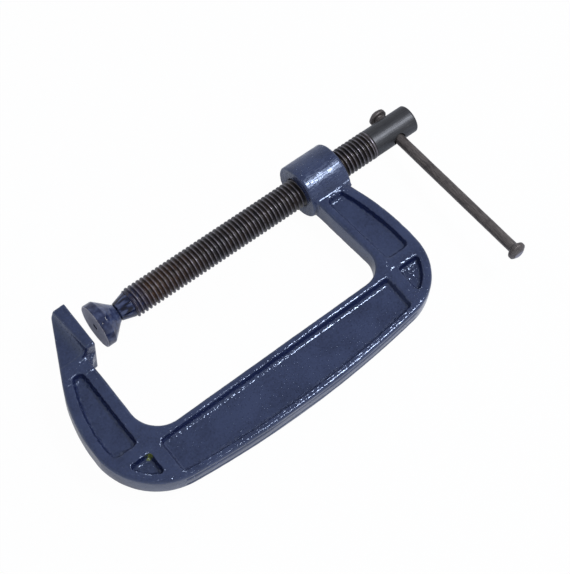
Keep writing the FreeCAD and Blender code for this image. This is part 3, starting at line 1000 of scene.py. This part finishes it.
# ---- tommy bar --------------------------------------------------------------------------
class ClampBarSettings(bpy.types.PropertyGroup):
    """The tommy bar's finish."""
    steel_colour: bpy.props.FloatVectorProperty(
        name="Steel", description="Colour of the mill scale", subtype="COLOR",
        default=hex_colour("#75706F"))
    shade_colour: bpy.props.FloatVectorProperty(
        name="Darker steel", description="Colour of the darker scale", subtype="COLOR",
        default=hex_colour("#39363A"))
    scratch_colour: bpy.props.FloatVectorProperty(
        name="Scratched steel", description="Colour of the bare marks", subtype="COLOR",
        default=hex_colour("#A09C9A"))
    struck_colour: bpy.props.FloatVectorProperty(
        name="Struck end", description="Colour of the hammered end", subtype="COLOR",
        default=hex_colour("#8F8E9A"))
    unevenness: bpy.props.FloatProperty(
        name="Unevenness", description="Depth of the dents along the bar",
        default=0.08 * MM, min=0.0, **LENGTH)


class CLAMP_OT_tommy_bar(bpy.types.Operator):
    """Build the tommy bar with its hammered ends"""
    bl_idname = "clamp.tommy_bar"
    bl_label = "Tommy bar"

    def execute(self, context):
        settings = context.scene.clamp_bar

        def dent(vertex, normal):
            return settings.unevenness * grain(vertex.co, 5 * MM, 5)

        mesh = softened(node_mesh("tommy_bar", "handle_bar"), FACE_SIZE)
        roughen(mesh, "tommy_bar", dent)
        struck_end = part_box("tommy_bar")[0][1] + 0.5 * MM
        steel = blackened_steel(
            "scaled_bar_steel", settings, heading=math.radians(90), roughness=0.5,
            struck_end=struck_end)
        new_piece("handle_bar", mesh, "bar", steel, "tommy_bar")
        return {"FINISHED"}


# ---- stage ------------------------------------------------------------------------------
class ClampStageSettings(bpy.types.PropertyGroup):
    """Floor, camera and light."""
    azimuth: bpy.props.FloatProperty(
        name="Azimuth", description="Heading of the camera; 0 looks along +Y",
        default=math.radians(316.015), subtype="ANGLE")
    elevation: bpy.props.FloatProperty(
        name="Elevation", description="Height of the camera above the horizon",
        default=math.radians(64.243), subtype="ANGLE")
    roll: bpy.props.FloatProperty(
        name="Roll", description="Turn of the camera about its line of sight",
        default=math.radians(6.594), subtype="ANGLE")
    distance: bpy.props.FloatProperty(
        name="Distance", description="Camera to the point it looks at",
        default=1.0661, **LENGTH)
    focal_length: bpy.props.FloatProperty(
        name="Focal length", description="Focal length on a 36 mm sensor",
        default=106.62, unit="CAMERA")
    target: bpy.props.FloatVectorProperty(
        name="Target", description="Point that the camera looks at",
        default=(0.12101, -0.04849, 0.0), subtype="TRANSLATION", unit="LENGTH")
    world_strength: bpy.props.FloatProperty(
        name="Sky", description="Strength of the even light from all round", default=0.66)
    key_power: bpy.props.FloatProperty(
        name="Key lamp", description="Power of the key lamp", default=10.0, unit="POWER")
    key_colour: bpy.props.FloatVectorProperty(
        name="Key lamp colour", description="Colour of the key lamp", subtype="COLOR",
        default=hex_colour("#FCFDFF"))
    key_direction: bpy.props.FloatVectorProperty(
        name="Key lamp direction", description="From the clamp to the key lamp",
        default=(0.35, -0.26, 0.90), subtype="DIRECTION")
    key_distance: bpy.props.FloatProperty(
        name="Key lamp distance", description="Key lamp to the middle of the clamp",
        default=1.2, **LENGTH)
    key_size: bpy.props.FloatProperty(
        name="Key lamp size", description="Diameter of the key lamp",
        default=0.36, **LENGTH)
    floor_colour: bpy.props.FloatVectorProperty(
        name="Floor", description="Colour of the floor", subtype="COLOR",
        default=hex_colour("#C6CCDC"))
    floor_half: bpy.props.FloatProperty(
        name="Floor half width", description="Middle of the floor to its edge",
        default=4.0, **LENGTH)


def add_camera(settings):
    """Camera that looks at the target, with its roll about the line of sight."""
    a = settings.azimuth
    e = settings.elevation
    forward = Vector((-math.sin(a) * math.cos(e), math.cos(a) * math.cos(e), -math.sin(e)))
    level = Vector((math.cos(a), math.sin(a), 0.0))
    upright = level.cross(forward)
    right = level * math.cos(settings.roll) + upright * math.sin(settings.roll)
    up = right.cross(forward)
    turn = Matrix((right, up, -forward)).transposed().to_4x4()
    lens = bpy.data.cameras.new("camera")
    lens.sensor_width = 36.0
    lens.lens = settings.focal_length
    lens.clip_start = 0.05
    lens.clip_end = 20.0
    camera = bpy.data.objects.new("camera", lens)
    place = Vector(settings.target) - forward * settings.distance
    camera.matrix_world = Matrix.Translation(place) @ turn
    bpy.context.scene.collection.objects.link(camera)
    bpy.context.scene.camera = camera


def add_key_lamp(settings):
    """Round soft lamp that shines on the middle of the clamp."""
    light = bpy.data.lights.new("key_lamp", "AREA")
    light.shape = "DISK"
    light.size = settings.key_size
    light.energy = settings.key_power
    light.color = settings.key_colour
    lamp = bpy.data.objects.new("key_lamp", light)
    away = Vector(settings.key_direction).normalized()
    middle = (Vector(cad_box[0]) + Vector(cad_box[1])) / 2
    lamp.location = middle + away * settings.key_distance
    lamp.rotation_mode = "QUATERNION"
    lamp.rotation_quaternion = away.to_track_quat("Z", "Y")
    bpy.context.scene.collection.objects.link(lamp)


def add_world(strength):
    """Even pale light from all round, less overhead, and white to the camera."""
    world = bpy.data.worlds.new("studio")
    bpy.context.scene.world = world
    world.use_nodes = True
    tree = world.node_tree
    tree.nodes.clear()
    white = hex_colour("#FFFFFF")
    place = add_node(tree, "ShaderNodeTexCoord").outputs["Generated"]
    height = add_node(tree, "ShaderNodeSeparateXYZ", inputs={"Vector": place}).outputs["Z"]
    sky = add_node(
        tree, "ShaderNodeValToRGB", inputs={"Fac": height},
        stops=[(0.15, white), (0.90, hex_colour("#BFC0C8"))],
    ).outputs["Color"]
    light = add_node(
        tree, "ShaderNodeBackground", inputs={"Color": sky, "Strength": strength},
    ).outputs["Background"]
    backdrop = add_node(
        tree, "ShaderNodeBackground", inputs={"Color": (*white, 1.0)},
    ).outputs["Background"]
    camera_ray = add_node(tree, "ShaderNodeLightPath").outputs["Is Camera Ray"]
    mix = add_node(
        tree, "ShaderNodeMixShader", inputs={0: camera_ray, 1: light, 2: backdrop},
    ).outputs["Shader"]
    add_node(tree, "ShaderNodeOutputWorld", inputs={"Surface": mix})


class CLAMP_OT_stage(bpy.types.Operator):
    """Set the floor, the light and the camera"""
    bl_idname = "clamp.stage"
    bl_label = "Stage"

    def execute(self, context):
        settings = context.scene.clamp_stage
        form = bmesh.new()
        bmesh.ops.create_grid(form, x_segments=8, y_segments=8, size=settings.floor_half)
        bmesh.ops.translate(form, verts=form.verts, vec=(0, 0, cad_box[0][2]))
        mesh = bpy.data.meshes.new("floor")
        form.to_mesh(mesh)
        form.free()
        mesh.materials.append(pale_floor(settings.floor_colour))
        floor = bpy.data.objects.new("floor", mesh)
        context.scene.collection.objects.link(floor)
        add_world(settings.world_strength)
        add_key_lamp(settings)
        add_camera(settings)
        context.scene.view_settings.view_transform = "Standard"
        return {"FINISHED"}


# ---- panel and registration -------------------------------------------------------------
PIECES = (
    CLAMP_OT_casting, CLAMP_OT_screw, CLAMP_OT_swivel_pad, CLAMP_OT_tommy_bar, CLAMP_OT_stage,
)
SETTINGS = (
    ("clamp_casting", ClampCastingSettings),
    ("clamp_screw", ClampScrewSettings),
    ("clamp_pad", ClampPadSettings),
    ("clamp_bar", ClampBarSettings),
    ("clamp_stage", ClampStageSettings),
)


class CLAMP_PT_sidebar(bpy.types.Panel):
    """Pieces and settings of the clamp"""
    bl_label = "G-clamp"
    bl_idname = "CLAMP_PT_sidebar"
    bl_space_type = "VIEW_3D"
    bl_region_type = "UI"
    bl_category = "G-clamp"

    def draw(self, context):
        for name, group in SETTINGS:
            box = self.layout.box()
            for field in group.__annotations__:
                box.prop(getattr(context.scene, name), field)
        for piece in PIECES:
            self.layout.operator(piece.bl_idname)


def register():
    for name, group in SETTINGS:
        bpy.utils.register_class(group)
        setattr(bpy.types.Scene, name, bpy.props.PointerProperty(type=group))
    for piece in PIECES:
        bpy.utils.register_class(piece)
    bpy.utils.register_class(CLAMP_PT_sidebar)


def unregister():
    bpy.utils.unregister_class(CLAMP_PT_sidebar)
    for piece in reversed(PIECES):
        bpy.utils.unregister_class(piece)
    for name, group in reversed(SETTINGS):
        delattr(bpy.types.Scene, name)
        bpy.utils.unregister_class(group)


def main():
    register()
    bpy.ops.clamp.stage()
    bpy.ops.clamp.casting()
    bpy.ops.clamp.screw()
    bpy.ops.clamp.swivel_pad()
    bpy.ops.clamp.tommy_bar()


if __name__ == "__main__":
    main()
